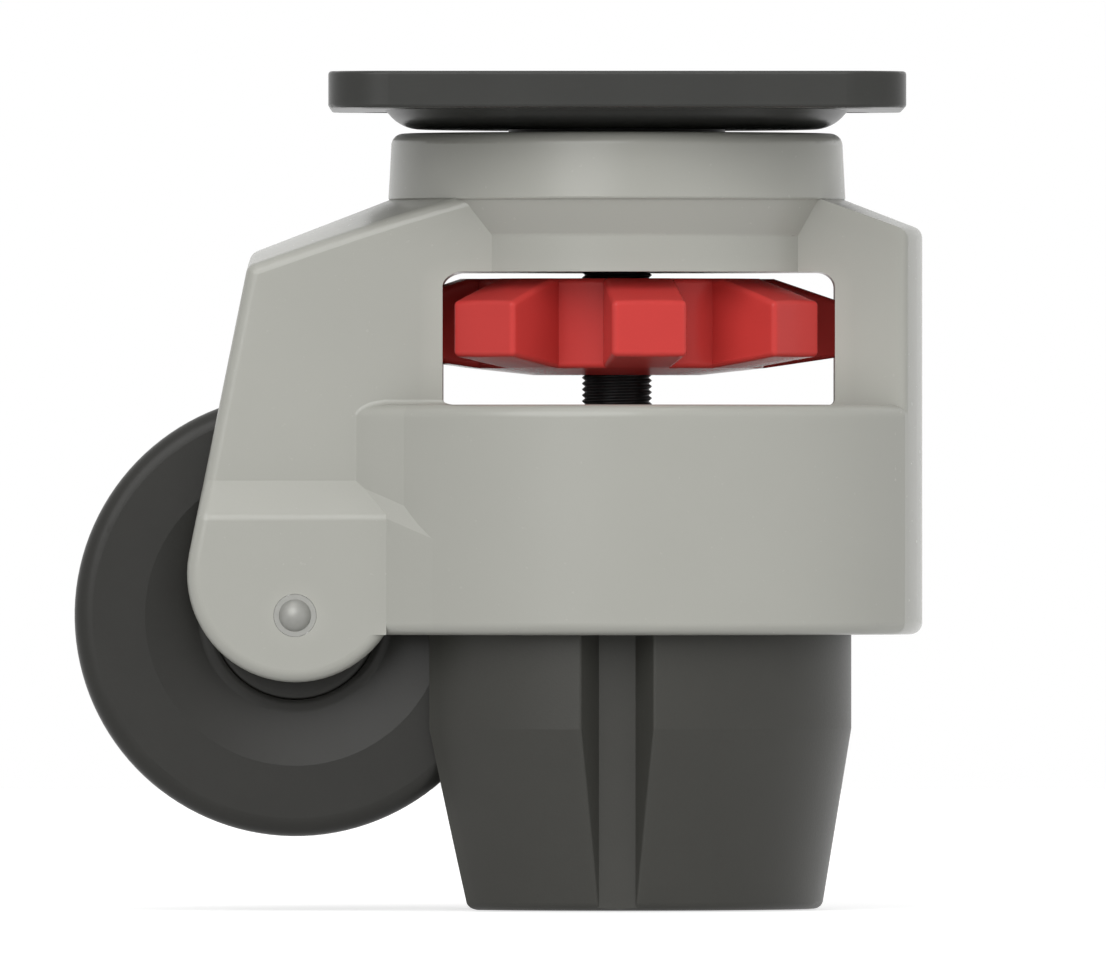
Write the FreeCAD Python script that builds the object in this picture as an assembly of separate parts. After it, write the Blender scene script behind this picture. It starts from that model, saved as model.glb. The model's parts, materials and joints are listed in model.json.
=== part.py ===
import FreeCAD, Part
import math
import os

# Levelling castor. Millimetres, +Z up. The origin is on the floor, on the swivel axis.
# The wheel trails towards -X, and the castor is shown with its foot screwed down to the floor.

# Heights, from the floor up
CASTING_LIFT = 46.8      # floor to the underside of the casting, foot fully out
GUIDE_HEIGHT = 39.1      # casting underside to the top of the shelf
WINDOW_HEIGHT = 22.6     # shelf to the ceiling of the dial window
NECK_HEIGHT = 12.3       # ceiling to the lower lip of the crown
CROWN_HEIGHT = 11.4
CROWN_GAP = 0.7          # running gap between crown and race dish
DISH_DEPTH = 3.3
PLATE_THICK = 6.2

# Top plate
PLATE_SIDE = 98.0
PLATE_CORNER = 10.2
PLATE_EDGE = 0.55
BOLT_INSET = 11.0        # plate edge to the centre of a bolt hole
BOLT_HOLE_R = 5.5

# Race dish
DISH_R = 39.6
DISH_RIM_DROP = 0.7
DISH_FLAT_R = 33.5

# Kingpin and swivel bearing
KINGPIN_R = 10.0
KINGPIN_HEAD_R = 14.0
KINGPIN_HEAD_HIGH = 4.0
KINGPIN_HEAD_SINK = 0.3
KINGPIN_FLANGE_R = 15.0
KINGPIN_FLANGE_HIGH = 3.4
THRUST_R = 18.5
THRUST_WASHER_HIGH = 2.5
THRUST_PITCH_R = 14.4
THRUST_BALL_R = 2.9
THRUST_BALLS = 12
CAGE_WALL = 2.0
CAGE_HALF_WIDTH = 3.0
BEARING_SEAT_DEPTH = 9.0  # crown top to the seat of the lower thrust washer
WEB_THICK = 3.6
SWIVEL_BUSH_R = 12.0
SWIVEL_WASHER_HIGH = 1.2
NECK_POCKET_R = 18.0

# Casting, crown and neck
CROWN_R = 39.0
CROWN_TOP_R = 38.4
CROWN_ROUND = 2.1
LIP_ROUND = 0.4
LIP_WIDTH = 0.6
NECK_R = 35.4
UNDERCUT_HEIGHT = 6.1
UNDERCUT_ROUND = 1.2
ROOF_SLOPE = 0.386       # drop of hood and column per millimetre away from the crown

# Casting, window, column and foot guide
EDGE_ROUND = 2.05
CHAMBER_R = 41.0
CHAMBER_TOP_ROUND = 2.6
CHAMBER_FOOT_ROUND = 0.9
COLUMN_R = 52.1
COLUMN_HALF = 17.5
PANEL_R = 56.7
PANEL_SHIFT = 10.8
SHELF_THICK = 5.0
SHELF_HOLE_R = 6.6

# Casting, fork
AXLE_BACK = 54.7
ARM_WALL = 4.65
BOSS_STEP = 3.8
ARM_LEAN = 11.44         # degrees that the fork's end leans from the vertical
EAR_R = 18.35
EAR_RISE = 7.0           # centre of the ear's arc above the axle
STEP_RISE = 22.9         # top of the boss's sloping step above the axle
STEP_SLOPE = 31.9        # degrees from the vertical
STEP_ROUND = 2.4
GUSSET_BACK = 44.4       # where the gusset leaves the arm's face
GUSSET_ANGLE = 29.0
BOSS_GUSSET_BACK = 39.2
GUSSET_FRONT = 26.0      # where both gussets lie inside the curved panels
BLEND_ANGLE = 23.8
BLEND_SLOPE = 13.4
BLEND_ALONG = 2.4
BLEND_DROP = 1.6
HOOD_WALL = 5.0
HOOD_ROUND = 3.0

# Wheel
WHEEL_R = 37.6
WHEEL_HALF = 21.5
WHEEL_LIFT = 12.5        # wheel above the floor, foot fully out
WHEEL_SHOULDER = 3.1
RIM_R = 25.6
WEB_DEPTH = 2.0
WEB_R = 16.3
HUB_R = 14.4
HUB_HALF = 22.0
HUB_ROUND = 1.1
HUB_SHOULDER = 2.0
WHEEL_GAP = 1.8          # around the wheel, to foot and shelf
FORK_GAP = 2.15          # between wheel and arm, each side

# Wheel bearings and axle
BEARING_R = 11.0
BEARING_WIDTH = 6.0
BEARING_INSET = 0.2
RING_WALL = 1.7
BEARING_BALL_R = 1.6
BEARING_BALLS = 9
SHIELD_THICK = 0.5
SLEEVE_R = 5.0
SPACER_R = 7.5
AXLE_R = 3.6
AXLE_DOME_R = 2.75
AXLE_DOME_HIGH = 1.6

# Dial and spindle
SPINDLE_R = 5.95
SPINDLE_FLOOR_GAP = 30.0
SPINDLE_CHAMFER = 1.0
COLLAR_R = 9.0
COLLAR_HIGH = 2.2
BUSH_HIGH = 2.1
SNAP_RING_HIGH = 1.0
SNAP_RING_DEPTH = 1.0
SNAP_RING_INNER_R = 15.5
SNAP_RING_OPEN = 6.0
DIAL_LOBES = 8
DIAL_PHASE = 8.3         # degrees from the front to the first lobe
DIAL_TIP_R = 38.2
DIAL_TIP_HALF = 6.45
DIAL_VALLEY_R = 25.4
DIAL_ROOT_ANGLE = 13.7   # half angle of a lobe where it leaves the valley
DIAL_TOP_GAP = 1.1
DIAL_FACE_R = 26.8
DIAL_TIP_DROP = 3.9
DIAL_TIP_THICK = 9.4
DIAL_UNDER_DROP = 1.9
DIAL_HUB_R = 14.3
DIAL_HUB_DROP = 1.2
DIAL_ROUND = 0.9
DIAL_NUT_FLATS = 19.0
DIAL_NUT_HIGH = 10.0
DIAL_NUT_COVER = 3.0

# Foot
FOOT_R = 40.0
FOOT_HEIGHT = 65.5
FOOT_BAND = 30.8         # floor to the line where the taper starts
FOOT_SOLE_R = 34.95
FOOT_SOLE_ROUND = 1.6
FOOT_TOP_ROUND = 0.8
FOOT_SLOT_EXTRA = 0.45
FOOT_SLOT_ROUND = 3.0
GROOVE_MOUTH_ROUND = 0.5
GROOVE_FLOOR = 34.6
GROOVE_HALF = 3.1
GROOVE_FLANK = 32.3      # degrees that each flank leans from the radial direction
FOOT_NUT_FLATS = 19.0
FOOT_NUT_HIGH = 20.0
FOOT_NUT_FLANGE_R = 14.0
FOOT_NUT_FLANGE_HIGH = 3.0
FOOT_BORE_R = 6.8
FOOT_BORE_FLOOR = 11.0

# Clearances
FIT = 0.05               # a shaft that turns in its bore, and pieces pressed together
GUIDE_GAP = 0.3          # foot in its guide, and balls under the turning race
STACK_GAP = 0.3          # faces that pass each other

# Places worked out from the sizes above
Z_UNDER = CASTING_LIFT
Z_SHELF = Z_UNDER + GUIDE_HEIGHT
Z_CEILING = Z_SHELF + WINDOW_HEIGHT
Z_LIP = Z_CEILING + NECK_HEIGHT
Z_CROWN = Z_LIP + CROWN_HEIGHT
Z_DISH = Z_CROWN + CROWN_GAP
Z_PLATE = Z_DISH + DISH_DEPTH
Z_TOP = Z_PLATE + PLATE_THICK
Z_SHELF_UNDER = Z_SHELF - SHELF_THICK
Z_SEAT = Z_CROWN - BEARING_SEAT_DEPTH
Z_WEB = Z_SEAT - WEB_THICK
Z_FLANGE_TOP = Z_WEB - STACK_GAP - SWIVEL_WASHER_HIGH
Z_FLANGE = Z_FLANGE_TOP - KINGPIN_FLANGE_HIGH
Z_COLLAR_TOP = Z_FLANGE - STACK_GAP
Z_COLLAR = Z_COLLAR_TOP - COLLAR_HIGH
Z_BUSH_TOP = Z_COLLAR - STACK_GAP
Z_BUSH = Z_BUSH_TOP - BUSH_HIGH
Z_SNAP_RING = Z_BUSH - SNAP_RING_HIGH
Z_AXLE = WHEEL_LIFT + WHEEL_R
Z_EAR = Z_AXLE + EAR_RISE
Z_STEP = Z_AXLE + STEP_RISE
Z_DIAL_TOP = Z_CEILING - DIAL_TOP_GAP
Z_DIAL_TIP_TOP = Z_DIAL_TOP - DIAL_TIP_DROP
Z_DIAL_TIP = Z_DIAL_TIP_TOP - DIAL_TIP_THICK
Z_DIAL_UNDER = Z_DIAL_TIP - DIAL_UNDER_DROP
Z_DIAL = Z_DIAL_UNDER - DIAL_HUB_DROP

FORK_HALF = WHEEL_HALF + FORK_GAP
ARM_HALF = FORK_HALF + ARM_WALL
BOSS_HALF = ARM_HALF + BOSS_STEP
WELL_FRONT = -AXLE_BACK + math.sqrt((WHEEL_R + WHEEL_GAP) ** 2 - (Z_SHELF_UNDER - Z_AXLE) ** 2)
SLOT_FRONT = -AXLE_BACK + WHEEL_R + WHEEL_GAP
GUIDE_R = FOOT_R + GUIDE_GAP
BEARING_OUT = HUB_HALF - BEARING_INSET
BEARING_IN = BEARING_OUT - BEARING_WIDTH
BEARING_PITCH_R = (SLEEVE_R + BEARING_R) / 2

OVER = 10.0              # how far a cutting tool runs past the metal
WIDE = 400.0             # larger than the whole castor
CLOSE = 0.01             # distance under which a point counts as on a face
SHORTEST_EDGE = 0.2      # shorter edges aren't picked for a round
SAME_POINT = 1e-6        # distance under which two points count as one


def vec(x, y, z):
    return FreeCAD.Vector(x, y, z)


ORIGIN = vec(0, 0, 0)
UP = vec(0, 0, 1)
FRONT_BACK = vec(0, 1, 0)


def outline(corners, place):
    """Closed wire through corners (u, v, round), each rounded by its own radius where it has one."""
    count = len(corners)
    points = [vec(u, v, 0) for u, v, _ in corners]
    starts = []
    middles = []
    ends = []
    for i in range(count):
        here = points[i]
        radius = corners[i][2]
        back = (points[i - 1] - here).normalize()
        ahead = (points[(i + 1) % count] - here).normalize()
        if radius <= 0:
            starts.append(here)
            middles.append(None)
            ends.append(here)
            continue
        half = back.getAngle(ahead) / 2
        reach = radius / math.tan(half)
        inward = (back + ahead).normalize()
        centre = here + inward * (radius / math.sin(half))
        starts.append(here + back * reach)
        middles.append(centre - inward * radius)
        ends.append(here + ahead * reach)

    def at(point):
        return place(point.x, point.y)

    edges = []
    for i in range(count):
        if middles[i] is not None:
            edges.append(Part.Arc(at(starts[i]), at(middles[i]), at(ends[i])).toShape())
        following = starts[(i + 1) % count]
        if ends[i].distanceToPoint(following) > SAME_POINT:
            edges.append(Part.LineSegment(at(ends[i]), at(following)).toShape())
    return Part.Wire(edges)


def turned(corners):
    """Solid of revolution about the swivel axis, from (radius, height, round) corners."""
    face = Part.Face(outline(corners, lambda r, z: vec(r, 0, z)))
    return face.revolve(ORIGIN, UP, 360)


def turned_on_axle(corners):
    """Solid of revolution about the wheel axle, from (radius, y, round) corners."""
    face = Part.Face(outline(corners, lambda r, y: vec(r - AXLE_BACK, y, Z_AXLE)))
    return face.revolve(vec(-AXLE_BACK, 0, Z_AXLE), FRONT_BACK, 360)


def plain(points):
    """Corners without rounds."""
    return [(u, v, 0) for u, v in points]


def disc(radius, low, high):
    return Part.makeCylinder(radius, high - low, vec(0, 0, low))


def tube(inner, outer, low, high):
    return disc(outer, low, high).cut(disc(inner, low, high))


def rod_y(radius, low, high):
    """Cylinder on the wheel axle, from one y to the other."""
    return Part.makeCylinder(radius, high - low, vec(-AXLE_BACK, low, Z_AXLE), FRONT_BACK)


def tube_y(inner, outer, low, high):
    return rod_y(outer, low, high).cut(rod_y(inner, low, high))


def block(x0, x1, y0, y1, z0, z1):
    return Part.makeBox(x1 - x0, y1 - y0, z1 - z0, vec(x0, y0, z0))


def mirrored(shape):
    """The same shape on the other side of the castor's middle plane."""
    return shape.mirror(ORIGIN, FRONT_BACK)


def both_sides(shape):
    return [shape, mirrored(shape)]


def beyond(point, normal):
    """Everything on the outer side of a plane."""
    side = Part.makeBox(WIDE, WIDE, WIDE, vec(-WIDE / 2, -WIDE / 2, 0))
    side.Placement = FreeCAD.Placement(point, FreeCAD.Rotation(UP, normal))
    return side


def hexagon(flats, low, high):
    """Hexagonal prism on the swivel axis."""
    points = [vec(x, y, low) for x, y in around(6, flats / 2 / math.cos(math.pi / 6))]
    return Part.Face(Part.makePolygon(points + points[:1])).extrude(UP * (high - low))


def around(count, radius, phase=0.0):
    """Evenly spaced places on a circle, as (x, y)."""
    turns = [math.radians(phase + 360 * i / count) for i in range(count)]
    return [(radius * math.cos(t), radius * math.sin(t)) for t in turns]


def edges_where(shape, test):
    """Edges whose middle point passes a test."""
    return [e for e in shape.Edges
            if e.Length > SHORTEST_EDGE and test(e.valueAt((e.FirstParameter + e.LastParameter) / 2))]


def near(a, b):
    return abs(a - b) < CLOSE


# Plate, dish and kingpin

def top_plate():
    half = PLATE_SIDE / 2
    plate = block(-half, half, -half, half, Z_PLATE, Z_TOP)
    upright = edges_where(plate, lambda m: near(abs(m.x), half) and near(abs(m.y), half))
    plate = plate.makeFillet(PLATE_CORNER, upright)
    rims = edges_where(plate, lambda m: near(m.z, Z_PLATE) or near(m.z, Z_TOP))
    plate = plate.makeFillet(PLATE_EDGE, rims)
    reach = half - BOLT_INSET
    for x in (-reach, reach):
        for y in (-reach, reach):
            plate = plate.cut(Part.makeCylinder(BOLT_HOLE_R, PLATE_THICK, vec(x, y, Z_PLATE)))
    return plate.cut(kingpin_outline(FIT))


def kingpin_outline(gap):
    """Shank and countersunk head, grown by a gap to make the hole for them."""
    head_top = Z_TOP - KINGPIN_HEAD_SINK
    head_low = head_top - KINGPIN_HEAD_HIGH
    shank = disc(KINGPIN_R + gap, Z_FLANGE_TOP, Z_TOP if gap else head_top)
    head = turned(plain([(0, head_low), (KINGPIN_R + gap, head_low),
                         (KINGPIN_HEAD_R + gap, head_top), (0, head_top)]))
    if gap:
        head = head.fuse(disc(KINGPIN_HEAD_R + gap, head_top, Z_TOP))
    return shank.fuse(head)


def kingpin():
    flange = disc(KINGPIN_FLANGE_R, Z_FLANGE, Z_FLANGE_TOP)
    return kingpin_outline(0).fuse(flange).removeSplitter()


def race_dish():
    """Pressed dish: a short bevel at the rim, then one arc down to the flat."""
    rim_r = DISH_R - DISH_RIM_DROP
    rim_z = Z_PLATE - DISH_RIM_DROP
    wide = rim_r - DISH_FLAT_R
    high = rim_z - Z_DISH
    arc_r = (wide ** 2 + high ** 2) / (2 * high)
    half_turn = math.asin(wide / arc_r) / 2
    middle = vec(DISH_FLAT_R + arc_r * math.sin(half_turn), 0, Z_DISH + arc_r * (1 - math.cos(half_turn)))
    bore = KINGPIN_R + FIT
    points = [vec(bore, 0, Z_DISH), vec(DISH_FLAT_R, 0, Z_DISH), vec(rim_r, 0, rim_z),
              vec(DISH_R, 0, Z_PLATE), vec(bore, 0, Z_PLATE)]
    wire = Part.Wire([Part.LineSegment(points[0], points[1]).toShape(),
                      Part.Arc(points[1], middle, points[2]).toShape(),
                      Part.LineSegment(points[2], points[3]).toShape(),
                      Part.LineSegment(points[3], points[4]).toShape(),
                      Part.LineSegment(points[4], points[0]).toShape()])
    return Part.Face(wire).revolve(ORIGIN, UP, 360)


# Swivel bearing

LOWER_RACE_TOP = Z_SEAT + THRUST_WASHER_HIGH
UPPER_RACE = Z_DISH - THRUST_WASHER_HIGH
BALL_Z = (LOWER_RACE_TOP + UPPER_RACE) / 2


def ball_track(gap):
    return Part.makeTorus(THRUST_PITCH_R, THRUST_BALL_R + gap, vec(0, 0, BALL_Z), UP)


def upper_thrust_washer():
    washer = tube(KINGPIN_R + FIT, THRUST_R, UPPER_RACE, Z_DISH)
    return washer.cut(ball_track(GUIDE_GAP))


def lower_thrust_washer():
    washer = tube(KINGPIN_R + STACK_GAP, THRUST_R + STACK_GAP, Z_SEAT, LOWER_RACE_TOP)
    return washer.cut(ball_track(FIT))


def thrust_balls():
    return Part.makeCompound([Part.makeSphere(THRUST_BALL_R, vec(x, y, BALL_Z))
                              for x, y in around(THRUST_BALLS, THRUST_PITCH_R)])


def ball_cage():
    cage = tube(THRUST_PITCH_R - CAGE_HALF_WIDTH, THRUST_PITCH_R + CAGE_HALF_WIDTH,
                BALL_Z - CAGE_WALL / 2, BALL_Z + CAGE_WALL / 2)
    for x, y in around(THRUST_BALLS, THRUST_PITCH_R):
        cage = cage.cut(Part.makeCylinder(THRUST_BALL_R + FIT, CAGE_WALL, vec(x, y, BALL_Z - CAGE_WALL / 2)))
    return cage


def swivel_bush():
    return tube(KINGPIN_R + FIT, SWIVEL_BUSH_R, Z_WEB, Z_SEAT)


def swivel_washer():
    return tube(KINGPIN_R + FIT, KINGPIN_FLANGE_R, Z_FLANGE_TOP, Z_FLANGE_TOP + SWIVEL_WASHER_HIGH)


# Casting

def under_roof(drop):
    """Everything under the cone that the hood and the column share."""
    apex = Z_LIP + ROOF_SLOPE * CROWN_R - drop
    cap = Z_CROWN - CROWN_ROUND - drop
    eaves = apex - ROOF_SLOPE * WIDE / 2
    return turned(plain([(0, -WIDE), (0, cap), ((apex - cap) / ROOF_SLOPE, cap),
                         (WIDE / 2, eaves), (WIDE / 2, -WIDE)]))


def crown_and_neck():
    lip_r = CROWN_R - LIP_WIDTH
    return turned([(0, Z_CEILING, 0), (NECK_R, Z_CEILING, 0),
                   (NECK_R, Z_LIP - UNDERCUT_HEIGHT, UNDERCUT_ROUND), (lip_r, Z_LIP, 0),
                   (CROWN_R, Z_LIP, LIP_ROUND), (CROWN_TOP_R, Z_CROWN, CROWN_ROUND), (0, Z_CROWN, 0)])


def fork_profile(half, front):
    """Side outline of the fork: leaning end, round ear, flat underside, out to half each way."""
    ear = vec(-AXLE_BACK, 0, Z_EAR)
    lean = math.radians(ARM_LEAN)
    tangent = ear + vec(-math.cos(lean), 0, math.sin(lean)) * EAR_R
    bottom = ear - UP * EAR_R
    joint = vec(ear.x + math.sqrt(EAR_R ** 2 - (Z_EAR - Z_UNDER) ** 2), 0, Z_UNDER)
    end_top = vec(tangent.x + math.tan(lean) * (Z_TOP - tangent.z), 0, Z_TOP)
    front_low = vec(front, 0, Z_UNDER)
    front_top = vec(front, 0, Z_TOP)
    wire = Part.Wire([Part.LineSegment(front_low, joint).toShape(),
                      Part.Arc(joint, bottom, tangent).toShape(),
                      Part.LineSegment(tangent, end_top).toShape(),
                      Part.LineSegment(end_top, front_top).toShape(),
                      Part.LineSegment(front_top, front_low).toShape()])
    wire.translate(vec(0, -half, 0))
    return Part.Face(wire).extrude(FRONT_BACK * (2 * half))


def fork_arms():
    """Both arms and the hood over them as one block, rounded along its outer edges."""
    arms = fork_profile(ARM_HALF, 0).common(under_roof(0))
    outer = edges_where(arms, lambda m: near(abs(m.y), ARM_HALF) and not near(m.x, 0)
                        and not near(m.z, Z_UNDER))
    hood_end = edges_where(arms, lambda m: near(m.y, 0) and m.z > Z_SHELF and m.x < -CROWN_R / 2)
    return arms.makeFillet(EDGE_ROUND, outer + hood_end)


def slant(angle, rise):
    """Outward normal of a plane on the front side, turned towards the wheel and tilted up."""
    turn = math.radians(angle)
    tilt = math.radians(rise)
    return vec(-math.sin(turn) * math.cos(tilt), -math.cos(turn) * math.cos(tilt), math.sin(tilt))


def axle_bosses():
    """Thicker lower ends of both arms, with a sloping step on top."""
    bosses = fork_profile(BOSS_HALF, -BOSS_GUSSET_BACK)
    for side in both_sides(beyond(vec(0, -ARM_HALF, Z_STEP), slant(0, STEP_SLOPE))):
        bosses = bosses.cut(side)
    bosses = bosses.cut(block(-WIDE / 2, WIDE / 2, -ARM_HALF, ARM_HALF, Z_STEP + OVER, WIDE))
    step = edges_where(bosses, lambda m: near(abs(m.y), BOSS_HALF) and m.z > Z_EAR)
    step = [e for e in step if near(e.Vertexes[0].Point.z, e.Vertexes[-1].Point.z)]
    bosses = bosses.makeFillet(STEP_ROUND, step)
    rims = edges_where(bosses, lambda m: abs(m.y) > FORK_HALF and on_fork_end(m))
    return bosses.makeFillet(EDGE_ROUND, rims)


def on_fork_end(point):
    """Whether a point lies on the leaning end or on the ear's arc."""
    lean = math.radians(ARM_LEAN)
    x = point.x + AXLE_BACK
    z = point.z - Z_EAR
    return near(math.hypot(x, z), EAR_R) or near(z * math.sin(lean) - x * math.cos(lean), EAR_R)


def wedge(back, half, top_round):
    """Flats that run from an arm's face outwards to the curved panels of the foot guide."""
    corner = vec(-back, -half, 0)
    outward = slant(GUSSET_ANGLE, 0)
    shape = block(-COLUMN_R, -GUSSET_FRONT, -PANEL_R, PANEL_R, Z_UNDER, Z_SHELF)
    for side in both_sides(beyond(corner, outward)):
        shape = shape.cut(side)
    rims = edges_where(shape, lambda m: (near(m.z, Z_UNDER) or (top_round and near(m.z, Z_SHELF)))
                       and near((vec(m.x, -abs(m.y), 0) - corner).dot(outward), 0))
    return shape.makeFillet(EDGE_ROUND, rims)


def gussets():
    return wedge(GUSSET_BACK, ARM_HALF, True)


def boss_gussets():
    """The lower gussets stand out further, under a plane that blends them into the upper ones."""
    corner = vec(-GUSSET_BACK, -ARM_HALF, Z_STEP)
    along = vec(math.cos(math.radians(GUSSET_ANGLE)), -math.sin(math.radians(GUSSET_ANGLE)), 0)
    shape = wedge(BOSS_GUSSET_BACK, BOSS_HALF, False)
    start = corner + along * BLEND_ALONG - UP * BLEND_DROP
    for side in both_sides(beyond(start, slant(BLEND_ANGLE, BLEND_SLOPE))):
        shape = shape.cut(side)
    return shape


def drum(radius, shift):
    """Round block of the foot guide's height, with rounded rims."""
    shape = turned([(0, Z_UNDER, 0), (radius, Z_UNDER, EDGE_ROUND),
                    (radius, Z_SHELF, EDGE_ROUND), (0, Z_SHELF, 0)])
    shape.translate(FRONT_BACK * shift)
    return shape


def guide_outside():
    """Outer form of the foot guide: two curved panels and the round back of the column."""
    return drum(COLUMN_R, 0).common(drum(PANEL_R, PANEL_SHIFT)).common(drum(PANEL_R, -PANEL_SHIFT))


def column():
    inner = (NECK_POCKET_R + NECK_R) / 2
    shape = block(inner, COLUMN_R + OVER, -COLUMN_HALF, COLUMN_HALF, Z_SHELF_UNDER, Z_TOP)
    shape = shape.common(disc(COLUMN_R, 0, Z_TOP)).common(under_roof(0))
    rims = edges_where(shape, lambda m: m.x > CROWN_R and m.z > Z_SHELF - SHELF_THICK / 2
                       and (near(abs(m.y), COLUMN_HALF) or near(math.hypot(m.x, m.y), COLUMN_R)))
    return shape.makeFillet(EDGE_ROUND, rims)


def groove_prism(gap, low, high):
    """Bar of the key's section: the foot's groove with no gap, the casting's key with one."""
    flank = math.radians(GROOVE_FLANK)
    inner = GROOVE_FLOOR + gap
    outer = FOOT_R + OVER
    inner_half = GROOVE_HALF + math.tan(flank) * gap - gap / math.cos(flank)
    outer_half = inner_half + math.tan(flank) * (outer - inner)
    points = [vec(-inner_half, -inner, low), vec(inner_half, -inner, low),
              vec(outer_half, -outer, low), vec(-outer_half, -outer, low)]
    return Part.Face(Part.makePolygon(points + points[:1])).extrude(UP * (high - low))


def guide_bore():
    """Room for the foot, less the two keys that stop it from turning."""
    bore = disc(GUIDE_R, Z_UNDER - OVER, Z_SHELF_UNDER)
    for key in both_sides(groove_prism(GUIDE_GAP, Z_UNDER, Z_SHELF_UNDER)):
        bore = bore.cut(key)
    return bore


def wheel_well():
    """Room between the arms, open behind and below, with rounded corners under the hood."""
    back = -AXLE_BACK - EAR_R - OVER
    well = block(back, WELL_FRONT, -FORK_HALF, FORK_HALF, 0, Z_CEILING).common(under_roof(HOOD_WALL))
    corners = edges_where(well, lambda m: near(abs(m.y), FORK_HALF) and m.z > Z_SHELF)
    return well.makeFillet(HOOD_ROUND, corners)


def dial_chamber():
    return turned([(0, Z_SHELF, 0), (CHAMBER_R, Z_SHELF, CHAMBER_FOOT_ROUND),
                   (CHAMBER_R, Z_CEILING, CHAMBER_TOP_ROUND), (0, Z_CEILING, 0)])


def on_arm_crease(point):
    """Whether a point lies where an arm's face meets the upper gusset or the top of the shelf."""
    return (near(abs(point.y), ARM_HALF) and -GUSSET_BACK - CLOSE < point.x < -CLOSE
            and Z_STEP < point.z < Z_SHELF + CLOSE)


def castor_body():
    body = crown_and_neck().fuse([fork_arms(), axle_bosses(), gussets(), boss_gussets(), guide_outside(),
                                  column()]).removeSplitter()
    body = body.makeFillet(CHAMBER_FOOT_ROUND, edges_where(body, on_arm_crease))
    pockets = [dial_chamber(), guide_bore(), wheel_well(),
               disc(SHELF_HOLE_R, Z_SHELF_UNDER, Z_SHELF),
               disc(THRUST_R + STACK_GAP + FIT, Z_SEAT, Z_CROWN),
               disc(SWIVEL_BUSH_R, Z_WEB, Z_SEAT),
               disc(NECK_POCKET_R, Z_CEILING, Z_WEB),
               disc(NECK_POCKET_R + SNAP_RING_DEPTH, Z_SNAP_RING, Z_BUSH),
               rod_y(AXLE_R + FIT, -BOSS_HALF, BOSS_HALF)]
    for pocket in pockets:
        body = body.cut(pocket)
    return body.removeSplitter()


# Spindle, dial and their bush

def spindle():
    """Threaded length as a plain rod, with a thrust collar at its top."""
    return turned(plain([(0, SPINDLE_FLOOR_GAP), (SPINDLE_R - SPINDLE_CHAMFER, SPINDLE_FLOOR_GAP),
                         (SPINDLE_R, SPINDLE_FLOOR_GAP + SPINDLE_CHAMFER), (SPINDLE_R, Z_COLLAR),
                         (COLLAR_R, Z_COLLAR), (COLLAR_R, Z_COLLAR_TOP), (0, Z_COLLAR_TOP)]))


def spindle_bush():
    return tube(SPINDLE_R + FIT, NECK_POCKET_R - FIT, Z_BUSH, Z_BUSH_TOP)


def snap_ring():
    ring = tube(SNAP_RING_INNER_R, NECK_POCKET_R + SNAP_RING_DEPTH - FIT, Z_SNAP_RING, Z_BUSH)
    return ring.cut(block(0, WIDE, -SNAP_RING_OPEN / 2, SNAP_RING_OPEN / 2, 0, WIDE))


def dial_form():
    """Body of revolution that the lobes are cut from: coned above, and coned twice below."""
    far = DIAL_TIP_R + OVER
    face_slope = DIAL_TIP_DROP / (DIAL_TIP_R - DIAL_FACE_R)
    under_slope = DIAL_UNDER_DROP / (DIAL_TIP_R - DIAL_VALLEY_R)
    return turned(plain([(0, Z_DIAL), (DIAL_HUB_R, Z_DIAL), (DIAL_VALLEY_R, Z_DIAL_UNDER),
                         (far, Z_DIAL_TIP + under_slope * OVER), (far, Z_DIAL_TIP_TOP - face_slope * OVER),
                         (DIAL_FACE_R, Z_DIAL_TOP), (0, Z_DIAL_TOP)]))


def dial_lobe():
    """One lobe, out along +X from inside the hub, rounded on its sides and its tip."""
    root = math.radians(DIAL_ROOT_ANGLE)
    root_x = DIAL_VALLEY_R * math.cos(root)
    root_half = DIAL_VALLEY_R * math.sin(root)
    widening = (DIAL_TIP_HALF - root_half) / (DIAL_TIP_R - root_x)
    inner = DIAL_HUB_R + DIAL_ROUND

    def half_at(x):
        return DIAL_TIP_HALF - widening * (DIAL_TIP_R - x)

    points = [vec(inner, -half_at(inner), Z_DIAL), vec(DIAL_TIP_R, -DIAL_TIP_HALF, Z_DIAL),
              vec(DIAL_TIP_R, DIAL_TIP_HALF, Z_DIAL), vec(inner, half_at(inner), Z_DIAL)]
    lobe = Part.Face(Part.makePolygon(points + points[:1])).extrude(UP * (Z_DIAL_TOP - Z_DIAL))
    lobe = lobe.common(dial_form())
    rims = edges_where(lobe, lambda m: not near(m.x, inner)
                       and (near(m.x, DIAL_TIP_R) or near(abs(m.y), half_at(m.x))))
    return lobe.makeFillet(DIAL_ROUND, rims)


def adjusting_dial():
    """Star wheel: lobes round a hub, with a bore for the spindle and a pocket for its nut."""
    hub = turned([(0, Z_DIAL, 0), (DIAL_HUB_R, Z_DIAL, 0), (DIAL_VALLEY_R, Z_DIAL_UNDER, DIAL_ROUND),
                  (DIAL_VALLEY_R, Z_DIAL_TOP, DIAL_ROUND), (0, Z_DIAL_TOP, 0)])
    lobes = []
    for i in range(DIAL_LOBES):
        lobe = dial_lobe()
        lobe.rotate(ORIGIN, UP, DIAL_PHASE - 90 + 360 / DIAL_LOBES * i)
        lobes.append(lobe)
    dial = hub.fuse(lobes).removeSplitter().cut(disc(SPINDLE_R + FIT, Z_DIAL, Z_DIAL_TOP))
    nut_top = Z_DIAL_TOP - DIAL_NUT_COVER
    return dial.cut(hexagon(DIAL_NUT_FLATS, nut_top - DIAL_NUT_HIGH, nut_top))


def dial_nut():
    top = Z_DIAL_TOP - DIAL_NUT_COVER
    return hexagon(DIAL_NUT_FLATS, top - DIAL_NUT_HIGH, top).cut(disc(SPINDLE_R + FIT, Z_DIAL, Z_DIAL_TOP))


# Foot

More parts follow.
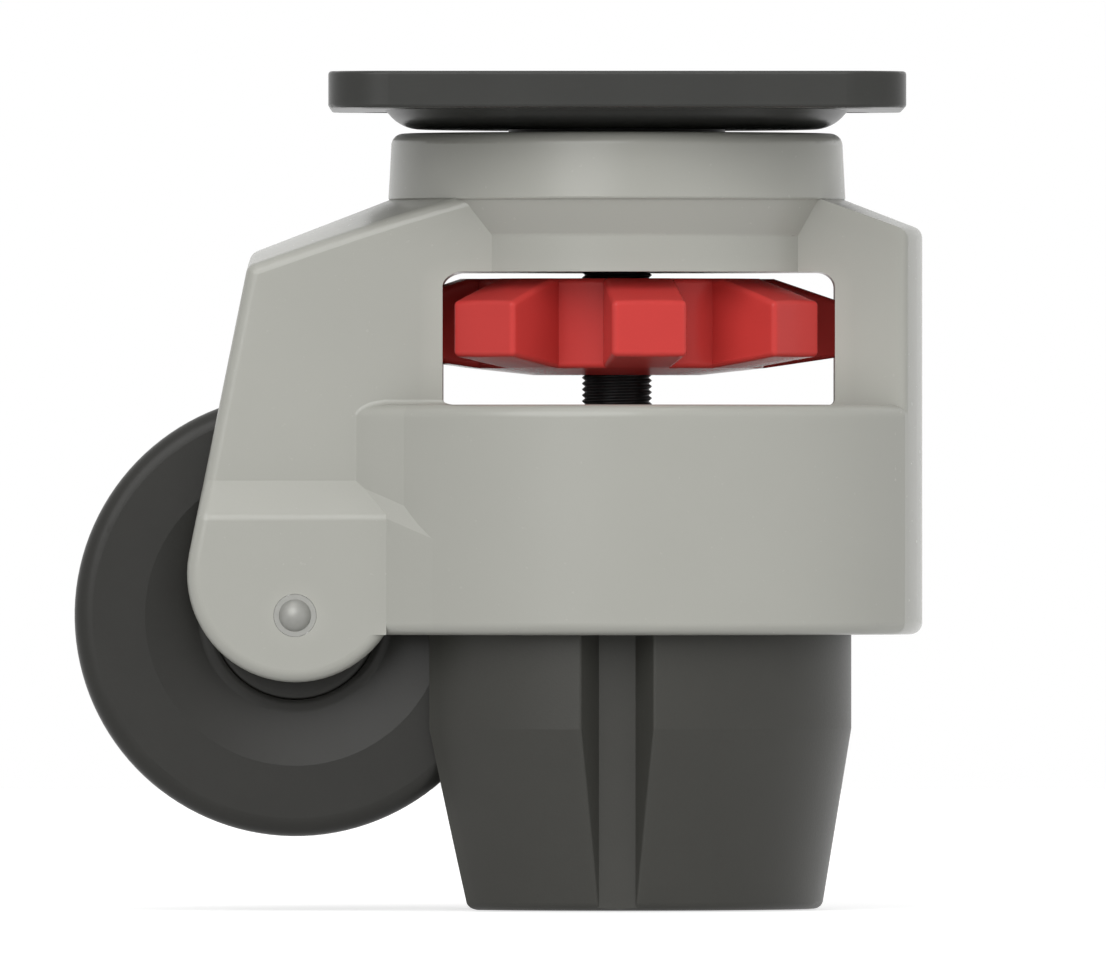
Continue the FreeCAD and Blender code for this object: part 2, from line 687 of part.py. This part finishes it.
def on_groove_mouth(point):
    """Whether a point lies on the long outer edge of a key groove, above the sole's round."""
    depth = abs(point.y) - GROOVE_FLOOR
    on_flank = near(abs(point.x), GROOVE_HALF + math.tan(math.radians(GROOVE_FLANK)) * depth)
    return on_flank and depth > CLOSE and FOOT_SOLE_ROUND < point.z < FOOT_HEIGHT - CLOSE


def foot_block():
    """Tapered foot: slot for the wheel, a key groove front and back, and a blind bore."""
    foot = turned([(0, 0, 0), (FOOT_SOLE_R, 0, FOOT_SOLE_ROUND), (FOOT_R, FOOT_BAND, 0),
                   (FOOT_R, FOOT_HEIGHT, FOOT_TOP_ROUND), (0, FOOT_HEIGHT, 0)])
    slot_half = FORK_HALF + FOOT_SLOT_EXTRA
    slot = block(-FOOT_R - OVER, SLOT_FRONT, -slot_half, slot_half, -OVER, FOOT_HEIGHT + OVER)
    inner = edges_where(slot, lambda m: near(m.x, SLOT_FRONT) and near(abs(m.y), slot_half))
    foot = foot.cut(slot.makeFillet(FOOT_SLOT_ROUND, inner))
    for groove in both_sides(groove_prism(0, -OVER, FOOT_HEIGHT + OVER)):
        foot = foot.cut(groove)
    foot = foot.makeFillet(GROOVE_MOUTH_ROUND, edges_where(foot, on_groove_mouth))
    foot = foot.cut(disc(FOOT_BORE_R, FOOT_BORE_FLOOR, FOOT_HEIGHT))
    foot = foot.cut(hexagon(FOOT_NUT_FLATS, FOOT_HEIGHT - FOOT_NUT_HIGH, FOOT_HEIGHT))
    return foot.cut(disc(FOOT_NUT_FLANGE_R + FIT, FOOT_HEIGHT - FOOT_NUT_FLANGE_HIGH, FOOT_HEIGHT))


def foot_nut():
    low = FOOT_HEIGHT - FOOT_NUT_HIGH
    flange = disc(FOOT_NUT_FLANGE_R, FOOT_HEIGHT - FOOT_NUT_FLANGE_HIGH, FOOT_HEIGHT)
    nut = hexagon(FOOT_NUT_FLATS, low, FOOT_HEIGHT).fuse(flange)
    return nut.cut(disc(SPINDLE_R + FIT, low, FOOT_HEIGHT)).removeSplitter()


# Wheel, its bearings and its axle

def wheel():
    """One-piece wheel: crowned rim, shallow cone web, hub boss, and a bore stepped for two bearings."""
    web_y = WHEEL_HALF - WEB_DEPTH
    bore = BEARING_R + FIT
    stop = BEARING_R - HUB_SHOULDER
    side = [(stop, BEARING_IN, 0), (bore, BEARING_IN, 0), (bore, HUB_HALF, 0), (HUB_R, HUB_HALF, HUB_ROUND),
            (HUB_R, web_y, WEB_R - HUB_R), (RIM_R, WHEEL_HALF, 0), (WHEEL_R, WHEEL_HALF, WHEEL_SHOULDER)]
    other = [(r, -y, rounding) for r, y, rounding in reversed(side)]
    return turned_on_axle(side + other)


def on_both_ends(maker):
    """A piece at the +Y end of the axle and its mirror image, as one group."""
    return Part.makeCompound(both_sides(maker))


def bearing_track(gap):
    centre = vec(-AXLE_BACK, (BEARING_IN + BEARING_OUT) / 2, Z_AXLE)
    return Part.makeTorus(BEARING_PITCH_R, BEARING_BALL_R + gap, centre, FRONT_BACK)


def bearing_outer_rings():
    ring = tube_y(BEARING_R - RING_WALL, BEARING_R, BEARING_IN, BEARING_OUT)
    seat = tube_y(BEARING_R - RING_WALL - FIT, BEARING_R - RING_WALL / 2,
                  BEARING_OUT - SHIELD_THICK, BEARING_OUT)
    return on_both_ends(ring.cut(bearing_track(FIT)).cut(seat))


def bearing_inner_rings():
    ring = tube_y(SLEEVE_R, SLEEVE_R + RING_WALL, BEARING_IN, BEARING_OUT)
    return on_both_ends(ring.cut(bearing_track(GUIDE_GAP)))


def bearing_shields():
    inner = SLEEVE_R + RING_WALL + GUIDE_GAP
    low = BEARING_OUT - SHIELD_THICK
    return on_both_ends(tube_y(inner, BEARING_R - RING_WALL / 2, low, BEARING_OUT - FIT))


def bearing_balls():
    middle = (BEARING_IN + BEARING_OUT) / 2
    balls = []
    for x, z in around(BEARING_BALLS, BEARING_PITCH_R):
        for y in (-middle, middle):
            balls.append(Part.makeSphere(BEARING_BALL_R, vec(x - AXLE_BACK, y, z + Z_AXLE)))
    return Part.makeCompound(balls)


def axle_sleeve():
    reach = FORK_HALF - FIT
    return tube_y(AXLE_R + FIT, SLEEVE_R - FIT / 2, -reach, reach)


def axle_spacers():
    return on_both_ends(tube_y(SLEEVE_R, SPACER_R, BEARING_OUT, FORK_HALF - FIT))


def axle():
    """Rod with flush ends, and a riveted dome on each."""
    rod = rod_y(AXLE_R, -BOSS_HALF, BOSS_HALF)
    ball_r = (AXLE_DOME_R ** 2 + AXLE_DOME_HIGH ** 2) / (2 * AXLE_DOME_HIGH)
    ball = Part.makeSphere(ball_r, vec(-AXLE_BACK, BOSS_HALF + AXLE_DOME_HIGH - ball_r, Z_AXLE))
    dome = ball.common(rod_y(AXLE_R, BOSS_HALF, BOSS_HALF + AXLE_DOME_HIGH))
    return rod.fuse(both_sides(dome)).removeSplitter()


NODES = {
    "top_plate": top_plate,
    "race_dish": race_dish,
    "kingpin": kingpin,
    "upper_thrust_washer": upper_thrust_washer,
    "swivel_washer": swivel_washer,
    "castor_body": castor_body,
    "lower_thrust_washer": lower_thrust_washer,
    "thrust_balls": thrust_balls,
    "ball_cage": ball_cage,
    "swivel_bush": swivel_bush,
    "spindle_bush": spindle_bush,
    "snap_ring": snap_ring,
    "axle": axle,
    "axle_sleeve": axle_sleeve,
    "axle_spacers": axle_spacers,
    "bearing_inner_rings": bearing_inner_rings,
    "adjusting_dial": adjusting_dial,
    "dial_nut": dial_nut,
    "spindle": spindle,
    "foot_block": foot_block,
    "foot_nut": foot_nut,
    "wheel": wheel,
    "bearing_outer_rings": bearing_outer_rings,
    "bearing_balls": bearing_balls,
    "bearing_shields": bearing_shields,
}

os.makedirs("parts", exist_ok=True)
for node, maker in NODES.items():
    shape = maker()
    shape.exportStep("parts/" + node + ".step")
    print(node, "solids", len(shape.Solids), "volume", round(shape.Volume))
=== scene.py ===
import json
import math

import bmesh
import bpy
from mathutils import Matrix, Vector


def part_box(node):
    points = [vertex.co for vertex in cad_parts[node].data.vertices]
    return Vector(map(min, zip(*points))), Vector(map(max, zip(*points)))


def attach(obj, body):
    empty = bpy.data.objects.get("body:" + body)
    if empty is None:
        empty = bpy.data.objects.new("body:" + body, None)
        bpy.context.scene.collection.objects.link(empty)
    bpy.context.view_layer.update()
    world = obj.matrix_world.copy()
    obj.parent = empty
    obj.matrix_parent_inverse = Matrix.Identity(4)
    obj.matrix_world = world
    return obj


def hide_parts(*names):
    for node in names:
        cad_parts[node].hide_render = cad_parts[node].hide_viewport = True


# Looks of a levelling castor, in metres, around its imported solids.

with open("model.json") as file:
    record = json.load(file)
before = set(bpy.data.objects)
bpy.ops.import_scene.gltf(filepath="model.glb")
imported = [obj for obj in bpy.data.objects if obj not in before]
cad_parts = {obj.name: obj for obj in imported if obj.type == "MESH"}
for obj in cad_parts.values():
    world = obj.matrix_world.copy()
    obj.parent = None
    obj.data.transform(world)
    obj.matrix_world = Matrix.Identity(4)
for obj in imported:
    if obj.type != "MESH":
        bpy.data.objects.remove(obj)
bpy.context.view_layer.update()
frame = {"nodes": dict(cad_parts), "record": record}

MM = 0.001
WHITE = (1.0, 1.0, 1.0, 1.0)

# Camera: a long lens, square to the front
LENS = 1200.0
SENSOR = 36.0
VIEW_WIDTH = 188.7 * MM
VIEW_CENTRE = Vector((-10.9 * MM, 0.0, 72.0 * MM))
VIEW_REACH = 50.0

# Light: radiance of the surroundings on the object, and the soft lamps, with their spread in degrees
AMBIENT = 0.12
LAMPS = {
    "key": {"source": (-0.28, -0.84, 0.48), "strength": 1.76, "spread": 50, "highlights": True},
    "right": {"source": (0.80, -0.55, 0.25), "strength": 1.05, "spread": 60, "highlights": False},
    "top": {"source": (0.0, -0.15, 1.0), "strength": 0.50, "spread": 40, "highlights": True},
    "back": {"source": (-0.10, 0.85, 0.30), "strength": 1.30, "spread": 60, "highlights": False},
}

# Floor
FLOOR_R = 2.5
FLOOR_SIDES = 96
FLOOR_DROP = 0.2 * MM
FLOOR_ALBEDO = 0.65
FLOOR_GLOW = 0.66

# Spindle thread. Crest, flank and root are shares of the pitch, and a second flank is the rest of it.
THREAD_CREST = 5.95 * MM
THREAD_ROOT = 5.5 * MM
THREAD_PITCH = 1.0 * MM
THREAD_SIDES = 48
CREST_SHARE = 0.14
FLANK_SHARE = 0.36
ROOT_SHARE = 0.14
ROWS_A_TURN = 4
SPARE_TURNS = 2
COLLAR_R = 9.0 * MM
COLLAR_HIGH = 2.2 * MM
WELD = 0.001 * MM

# Share of a turn that keeps its first row in that turn, where a whole number comes out a little low
ROUNDING = 0.01

# Sockets of a Mix node in its colour mode, which share their names with those of its other modes
MIX_FACTOR = 0
MIX_LOW = 6
MIX_HIGH = 7
MIX_RESULT = 2

# Rays that feel for creases and edges from one point, for the painted shade in creases and the lighter
# edges
SHADE_AND_WEAR_RAYS = 6


# Node trees

class Wire:
    """An output socket of a node. Sums, differences, products and shares of wires add Math nodes."""

    def __init__(self, graph, socket):
        self.graph = graph
        self.socket = socket

    def math(self, operation, *others):
        values = dict(enumerate([self, *others]))
        return self.graph.node("ShaderNodeMath", {"operation": operation}, values)

    def __add__(self, other):
        return self.math("ADD", other)

    def __sub__(self, other):
        return self.math("SUBTRACT", other)

    def __mul__(self, other):
        return self.math("MULTIPLY", other)

    def __truediv__(self, other):
        return self.math("DIVIDE", other)

    def __rsub__(self, other):
        return self * -1 + other

    __radd__ = __add__
    __rmul__ = __mul__

    def reaches(self, count):
        """1 where this whole number has come to the count, and 0 before it."""
        return self.math("GREATER_THAN", count - 0.5)

    def at_most(self, other):
        return self.math("MINIMUM", other)

    def at_least(self, other):
        return self.math("MAXIMUM", other)


class Graph:
    """A node tree that grows by one node at a time."""

    def __init__(self, tree):
        self.tree = tree
        tree.nodes.clear()

    def node(self, kind, settings=None, values=None, output=0):
        """Adds a node: its settings first, then the values or wires of its sockets."""
        made = self.tree.nodes.new(kind)
        for key, value in (settings or {}).items():
            setattr(made, key, value)
        for key, value in (values or {}).items():
            for one in value if isinstance(value, list) else [value]:
                if isinstance(one, Wire):
                    self.tree.links.new(one.socket, made.inputs[key])
                else:
                    made.inputs[key].default_value = one
        return Wire(self, made.outputs[output]) if made.outputs else made


class Finish(Graph):
    """A material's tree, with the textures that the finishes share."""

    def __init__(self, name):
        self.material = bpy.data.materials.new(name)
        self.material.use_nodes = True
        super().__init__(self.material.node_tree)

    def noise(self, size, detail, stretch=(1, 1, 1)):
        """Noise whose grains are about one size across, from 0 to 1."""
        place = self.node("ShaderNodeTexCoord", output="Object")
        vector = self.node("ShaderNodeMapping", {}, {"Vector": place, "Scale": stretch})
        return self.node("ShaderNodeTexNoise", {}, {"Vector": vector, "Scale": 1 / size, "Detail": detail})

    def mottled(self, colour, darkest, lightest, pattern):
        """The colour, times its darkest share where the pattern is 0 and its lightest where it is 1."""
        return self.node("ShaderNodeMix", {"data_type": "RGBA"}, {
            MIX_FACTOR: pattern,
            MIX_LOW: (*[level * darkest for level in colour], 1.0),
            MIX_HIGH: (*[level * lightest for level in colour], 1.0)}, output=MIX_RESULT)

    def scaled(self, colour, factor):
        """The colour, lighter or darker by a factor that changes over the surface."""
        return self.node("ShaderNodeVectorMath", {"operation": "SCALE"}, {0: colour, "Scale": factor},
                         output="Vector")

    def openness(self, reach, inside, alone):
        """1 on open faces, and less in creases or, felt from inside, along outer edges.

        Other pieces count as well, unless the piece is felt alone.
        """
        return self.node("ShaderNodeAmbientOcclusion", {
            "samples": SHADE_AND_WEAR_RAYS, "only_local": alone, "inside": inside}, {"Distance": reach}, output="AO")

    def painted_light_and_wear(self, colour, crease_reach, crease_shade, edge_reach, edge_wear_and_highlight, alone=True):
        """The colour with painted shade in creases, and lighter along edges as wear and as a painted
        highlight, by the shares given.
        """
        crease_shade_mask = 1 - self.openness(crease_reach, inside=False, alone=alone)
        edge_wear_and_highlight_mask = 1 - self.openness(edge_reach, inside=True, alone=True)
        return self.scaled(self.scaled(colour, 1 - crease_shade_mask * crease_shade), 1 + edge_wear_and_highlight_mask * edge_wear_and_highlight)

    def relief(self, height, depth):
        """Fine unevenness, as deep as given where the height goes from 0 to 1."""
        return self.node("ShaderNodeBump", {}, {"Height": height, "Distance": depth})

    def surface(self, colour, roughness, relief, metallic=0.0, specular=0.5):
        """Ends the tree in its shader, and gives the material."""
        shader = self.node("ShaderNodeBsdfPrincipled", {}, {
            "Base Color": colour, "Roughness": roughness, "Normal": relief, "Metallic": metallic,
            "Specular IOR Level": specular})
        self.node("ShaderNodeOutputMaterial", {}, {"Surface": shader})
        return self.material


# Finishes

def casting_paint():
    """Satin powder coat on a die casting: fine orange peel and a faint cloudiness."""
    finish = Finish("casting_paint")
    clouds = finish.noise(size=22 * MM, detail=2)
    peel = finish.noise(size=0.9 * MM, detail=2)
    grit = finish.noise(size=0.25 * MM, detail=2)
    mixed = finish.mottled((0.43, 0.43, 0.39), darkest=0.965, lightest=1.035,
                           pattern=clouds * 0.7 + grit * 0.3)
    # Painted shade in creases, and edges lighter as wear and as a painted highlight
    shaded_and_worn = finish.painted_light_and_wear(mixed, crease_reach=9 * MM, crease_shade=0.35, edge_reach=3 * MM, edge_wear_and_highlight=0.12)
    relief = finish.relief(peel * 0.75 + grit * 0.25, depth=0.012 * MM)
    return finish.surface(shaded_and_worn, roughness=0.20 + peel * 0.10, relief=relief, specular=0.4)


def passivated_steel():
    """Black passivated pressed steel: a faint rolling grain, and painted shade where other pieces stand
    close.
    """
    finish = Finish("passivated_steel")
    grain = finish.noise(size=0.35 * MM, detail=3, stretch=(0.12, 1, 1))
    clouds = finish.noise(size=14 * MM, detail=3)
    mixed = finish.mottled((0.036, 0.0365, 0.0335), darkest=0.86, lightest=1.14,
                           pattern=clouds * 0.6 + grain * 0.4)
    # Painted shade in creases and under the pieces close by, and edges lighter as wear and as a painted
    # highlight
    shaded_and_worn = finish.painted_light_and_wear(mixed, crease_reach=9 * MM, crease_shade=0.85, edge_reach=1.5 * MM, edge_wear_and_highlight=0.35,
                            alone=False)
    relief = finish.relief(grain, depth=0.004 * MM)
    return finish.surface(shaded_and_worn, roughness=0.26 + clouds * 0.12, relief=relief, specular=0.25)


def ground_steel():
    """Hardened bearing steel, ground to a fine grain."""
    finish = Finish("ground_steel")
    grain = finish.noise(size=0.2 * MM, detail=3, stretch=(1, 1, 0.1))
    mixed = finish.mottled((0.50, 0.50, 0.50), darkest=0.92, lightest=1.08, pattern=grain)
    relief = finish.relief(grain, depth=0.002 * MM)
    return finish.surface(mixed, roughness=0.24 + grain * 0.12, relief=relief, metallic=1.0)


def plated_rivet_steel():
    """Plated axle steel, slightly dull where the rivet was set."""
    finish = Finish("plated_rivet_steel")
    marks = finish.noise(size=0.6 * MM, detail=3)
    mixed = finish.mottled((0.32, 0.32, 0.30), darkest=0.94, lightest=1.06, pattern=marks)
    relief = finish.relief(marks, depth=0.01 * MM)
    return finish.surface(mixed, roughness=0.38 + marks * 0.14, relief=relief, metallic=0.35, specular=0.4)


def blackened_steel():
    """Blackened steel with a thin film of oil."""
    finish = Finish("blackened_steel")
    oil = finish.noise(size=1.5 * MM, detail=3)
    mixed = finish.mottled((0.016, 0.016, 0.016), darkest=0.8, lightest=1.3, pattern=oil)
    relief = finish.relief(oil, depth=0.004 * MM)
    return finish.surface(mixed, roughness=0.34 + oil * 0.16, relief=relief, specular=0.4)


def sintered_bronze():
    """Oiled bush bronze with fine pores."""
    finish = Finish("sintered_bronze")
    pores = finish.noise(size=0.3 * MM, detail=2)
    mixed = finish.mottled((0.55, 0.36, 0.16), darkest=0.8, lightest=1.1, pattern=pores)
    relief = finish.relief(pores, depth=0.006 * MM)
    return finish.surface(mixed, roughness=0.42 + pores * 0.2, relief=relief, metallic=1.0)


def red_nylon():
    """Moulded red nylon: satin, with the fine spark-eroded texture of its mould."""
    finish = Finish("red_nylon")
    spark = finish.noise(size=0.4 * MM, detail=2)
    flow = finish.noise(size=9 * MM, detail=2)
    mixed = finish.mottled((0.655, 0.058, 0.052), darkest=0.94, lightest=1.06,
                           pattern=flow * 0.7 + spark * 0.3)
    # Painted shade in creases, and edges lighter as wear and as a painted highlight
    shaded_and_worn = finish.painted_light_and_wear(mixed, crease_reach=8 * MM, crease_shade=0.50, edge_reach=1.5 * MM, edge_wear_and_highlight=0.15)
    relief = finish.relief(spark, depth=0.006 * MM)
    return finish.surface(shaded_and_worn, roughness=0.15 + spark * 0.10, relief=relief, specular=0.15)


def black_nylon():
    """Moulded black nylon wheel: faint flow marks and a satin skin."""
    finish = Finish("black_nylon")
    flow = finish.noise(size=7 * MM, detail=3)
    skin = finish.noise(size=0.5 * MM, detail=2)
    mixed = finish.mottled((0.0305, 0.0300, 0.0272), darkest=0.88, lightest=1.12,
                           pattern=flow * 0.7 + skin * 0.3)
    # Painted shade in creases, and edges lighter as wear and as a painted highlight
    shaded_and_worn = finish.painted_light_and_wear(mixed, crease_reach=8 * MM, crease_shade=0.45, edge_reach=1.5 * MM, edge_wear_and_highlight=0.25)
    relief = finish.relief(skin, depth=0.010 * MM)
    return finish.surface(shaded_and_worn, roughness=0.30 + flow * 0.10, relief=relief, specular=0.2)


def grey_rubber():
    """Moulded dark grey rubber, matt, with a fine grain."""
    finish = Finish("grey_rubber")
    dust = finish.noise(size=11 * MM, detail=3)
    grain = finish.noise(size=0.45 * MM, detail=3)
    mixed = finish.mottled((0.049, 0.0485, 0.0430), darkest=0.88, lightest=1.14,
                           pattern=dust * 0.6 + grain * 0.4)
    # Painted shade in creases, and edges lighter as wear and as a painted highlight
    shaded_and_worn = finish.painted_light_and_wear(mixed, crease_reach=6 * MM, crease_shade=0.18, edge_reach=2 * MM, edge_wear_and_highlight=0.20)
    relief = finish.relief(grain, depth=0.015 * MM)
    return finish.surface(shaded_and_worn, roughness=0.36 + grain * 0.12, relief=relief, specular=0.25)


FINISHES = {
    "casting": casting_paint(),
    "plate_steel": passivated_steel(),
    "bearing_steel": ground_steel(),
    "axle_steel": plated_rivet_steel(),
    "spindle_steel": blackened_steel(),
    "bush_bronze": sintered_bronze(),
    "dial_plastic": red_nylon(),
    "wheel_nylon": black_nylon(),
    "foot_rubber": grey_rubber(),
}

for subpart in frame["record"]["subparts"]:
    slots = frame["nodes"][subpart["node"]].data.materials
    finish = FINISHES[subpart["material_slot"]]
    if not slots:
        slots.append(finish)
    for i in range(len(slots)):
        slots[i] = finish


# Threaded spindle

class Shape(Graph):
    """A geometry tree with named number inputs."""

    def __init__(self, name, sizes):
        super().__init__(bpy.data.node_groups.new(name, "GeometryNodeTree"))
        interface = self.tree.interface
        interface.new_socket("Geometry", in_out="OUTPUT", socket_type="NodeSocketGeometry")
        self.identifiers = {}
        for size, value in sizes.items():
            kind = "NodeSocketInt" if isinstance(value, int) else "NodeSocketFloat"
            self.identifiers[size] = interface.new_socket(size, in_out="INPUT", socket_type=kind).identifier
        entry = self.tree.nodes.new("NodeGroupInput")
        self.sizes = {size: Wire(self, entry.outputs[size]) for size in sizes}
        self.values = sizes

    def raised(self, geometry, height):
        """The geometry, moved up by a height."""
        shift = self.node("ShaderNodeCombineXYZ", {}, {"Z": height})
        return self.node("GeometryNodeTransform", {}, {"Geometry": geometry, "Translation": shift})

    def joined(self, *geometries):
        """The geometries as one."""
        return self.node("GeometryNodeJoinGeometry", {}, {"Geometry": list(geometries)})

    def build(self, name, geometry, material):
        """Ends the tree and turns its result into a plain mesh object at the origin."""
        whole = self.node("GeometryNodeRealizeInstances", {}, {"Geometry": geometry})
        painted = self.node("GeometryNodeSetMaterial", {}, {"Geometry": whole, "Material": material})
        self.node("NodeGroupOutput", {}, {"Geometry": painted})
        blank = bpy.data.objects.new(name + "_tree", bpy.data.meshes.new(name + "_tree"))
        bpy.context.scene.collection.objects.link(blank)
        modifier = blank.modifiers.new("Shape", "NODES")
        modifier.node_group = self.tree
        for size, identifier in self.identifiers.items():
            modifier[identifier] = self.values[size]
        bpy.context.view_layer.update()
        ready = blank.evaluated_get(bpy.context.evaluated_depsgraph_get())
        mesh = bpy.data.meshes.new_from_object(ready)
        blank.modifiers.clear()
        bpy.data.objects.remove(blank)
        made = bpy.data.objects.new(name, mesh)
        bpy.context.scene.collection.objects.link(made)
        return made


def face_outwards(piece):
    """Merges the piece's doubles and turns its faces outwards."""
    work = bmesh.new()
    work.from_mesh(piece.data)
    bmesh.ops.remove_doubles(work, verts=work.verts, dist=WELD)
    bmesh.ops.recalc_face_normals(work, faces=work.faces)
    work.to_mesh(piece.data)
    work.free()


def thread(shape):
    """Grid rolled to a tube, whose rows follow the helix: two on the crest and two on the root."""
    size = shape.sizes
    rows = size["Turns"] * ROWS_A_TURN
    grid = shape.node("GeometryNodeMeshGrid", {}, {
        "Size X": 1.0, "Size Y": 1.0, "Vertices X": size["Sides"] + 1, "Vertices Y": rows + 1})

    # The grid is 1 wide around its middle, so both shares go from 0 to 1
    spot = shape.node("GeometryNodeInputPosition")
    round_share = shape.node("ShaderNodeSeparateXYZ", {}, {0: spot}, output="X") + 0.5
    up_share = shape.node("ShaderNodeSeparateXYZ", {}, {0: spot}, output="Y") + 0.5

    row = (up_share * rows).math("ROUND")
    turn = (row / ROWS_A_TURN + ROUNDING).math("FLOOR")
    phase = row - turn * ROWS_A_TURN
    part_turn = (phase.reaches(1) * CREST_SHARE + phase.reaches(2) * FLANK_SHARE
                 + phase.reaches(3) * ROOT_SHARE)

    # The crest runs out where the thread ends
    free_z = size["Low End"] + size["Pitch"] * (turn + part_turn + round_share - 1)
    z = free_z.at_least(size["Low End"]).at_most(size["Thread Top"])
    room = (z - size["Low End"]).at_most(size["Thread Top"] - z)
    ridge = (size["Crest Radius"] - size["Root Radius"]) * (1 - phase.reaches(2))
    radius = size["Root Radius"] + ridge.at_most(room)
    angle = round_share * math.tau
    place = shape.node("ShaderNodeCombineXYZ", {}, {
        "X": radius * angle.math("COSINE"), "Y": radius * angle.math("SINE"), "Z": z})
    return shape.node("GeometryNodeSetPosition", {}, {"Geometry": grid, "Position": place})


def threaded_spindle():
    """Threaded rod with closed ends, under its thrust collar."""
    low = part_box("spindle")[0].z
    collar_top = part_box("spindle")[1].z
    top = collar_top - COLLAR_HIGH
    shape = Shape("Threaded spindle", {
        "Crest Radius": THREAD_CREST, "Root Radius": THREAD_ROOT, "Pitch": THREAD_PITCH, "Low End": low,
        "Thread Top": top, "Collar Radius": COLLAR_R, "Collar Height": COLLAR_HIGH, "Sides": THREAD_SIDES,
        "Turns": math.ceil((top - low) / THREAD_PITCH) + SPARE_TURNS})
    size = shape.sizes
    disc = shape.node("GeometryNodeMeshCircle", {"fill_type": "NGON"}, {
        "Vertices": size["Sides"], "Radius": size["Root Radius"]})
    ends = [shape.raised(disc, size["Low End"]), shape.raised(disc, size["Thread Top"])]
    rod = shape.node("GeometryNodeMergeByDistance", {}, {
        "Geometry": shape.joined(thread(shape), *ends), "Distance": WELD})
    drum = shape.node("GeometryNodeMeshCylinder", {}, {
        "Vertices": size["Sides"], "Radius": size["Collar Radius"], "Depth": size["Collar Height"]})
    collar = shape.raised(drum, size["Thread Top"] + size["Collar Height"] / 2)
    piece = shape.build("threaded_spindle", shape.joined(rod, collar), FINISHES["spindle_steel"])
    face_outwards(piece)
    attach(piece, "adjuster")
    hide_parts("spindle")


threaded_spindle()


# Floor, surroundings, lamps and camera

def looked_at(graph):
    """1 for rays that look at the background, straight or mirrored, and 0 for light on the object."""
    seen = [graph.node("ShaderNodeLightPath", output=kind)
            for kind in ("Is Camera Ray", "Is Glossy Ray", "Is Transmission Ray")]
    return seen[0].at_least(seen[1]).at_least(seen[2])


def white_floor():
    """Round pale floor that looks white and keeps the castor's shadow."""
    finish = Finish("white_floor")
    paint = finish.node("ShaderNodeBsdfDiffuse", {}, {"Color": (*[FLOOR_ALBEDO] * 3, 1.0)})
    glow = finish.node("ShaderNodeEmission", {}, {"Strength": looked_at(finish) * FLOOR_GLOW})
    both = finish.node("ShaderNodeAddShader", {}, {0: paint, 1: glow})
    finish.node("ShaderNodeOutputMaterial", {}, {"Surface": both})
    mesh = bpy.data.meshes.new("floor")
    angles = [math.tau * i / FLOOR_SIDES for i in range(FLOOR_SIDES)]
    ring = [(FLOOR_R * math.cos(angle), FLOOR_R * math.sin(angle), -FLOOR_DROP) for angle in angles]
    mesh.from_pydata(ring, [], [list(range(FLOOR_SIDES))])
    floor = bpy.data.objects.new("floor", mesh)
    floor.data.materials.append(finish.material)
    bpy.context.scene.collection.objects.link(floor)


def white_room():
    """Surroundings that look white and light the object evenly and little."""
    world = bpy.data.worlds.new("room")
    world.use_nodes = True
    bpy.context.scene.world = world
    graph = Graph(world.node_tree)
    light = graph.node("ShaderNodeBackground", {}, {
        "Color": WHITE, "Strength": looked_at(graph) * (1 - AMBIENT) + AMBIENT})
    graph.node("ShaderNodeOutputWorld", {}, {"Surface": light})


def lamp(name, source, strength, spread, highlights):
    """Soft lamp far off towards its source. Without highlights, no surface mirrors it."""
    light = bpy.data.lights.new(name, "SUN")
    light.energy = strength
    light.angle = math.radians(spread)
    made = bpy.data.objects.new(name, light)
    made.rotation_euler = Vector(source).to_track_quat("Z", "Y").to_euler()
    made.visible_glossy = highlights
    bpy.context.scene.collection.objects.link(made)


def front_camera():
    """Camera far in front, at the photograph's framing."""
    lens = bpy.data.cameras.new("front")
    lens.lens = LENS
    lens.sensor_width = SENSOR
    lens.clip_end = VIEW_REACH
    camera = bpy.data.objects.new("front", lens)
    camera.location = VIEW_CENTRE - Vector((0, VIEW_WIDTH * LENS / SENSOR, 0))
    camera.rotation_euler = (math.pi / 2, 0, 0)
    bpy.context.scene.collection.objects.link(camera)
    bpy.context.scene.camera = camera


white_floor()
white_room()
for lamp_name, settings in LAMPS.items():
    lamp(lamp_name, **settings)
front_camera()
bpy.context.scene.view_settings.view_transform = "Standard"
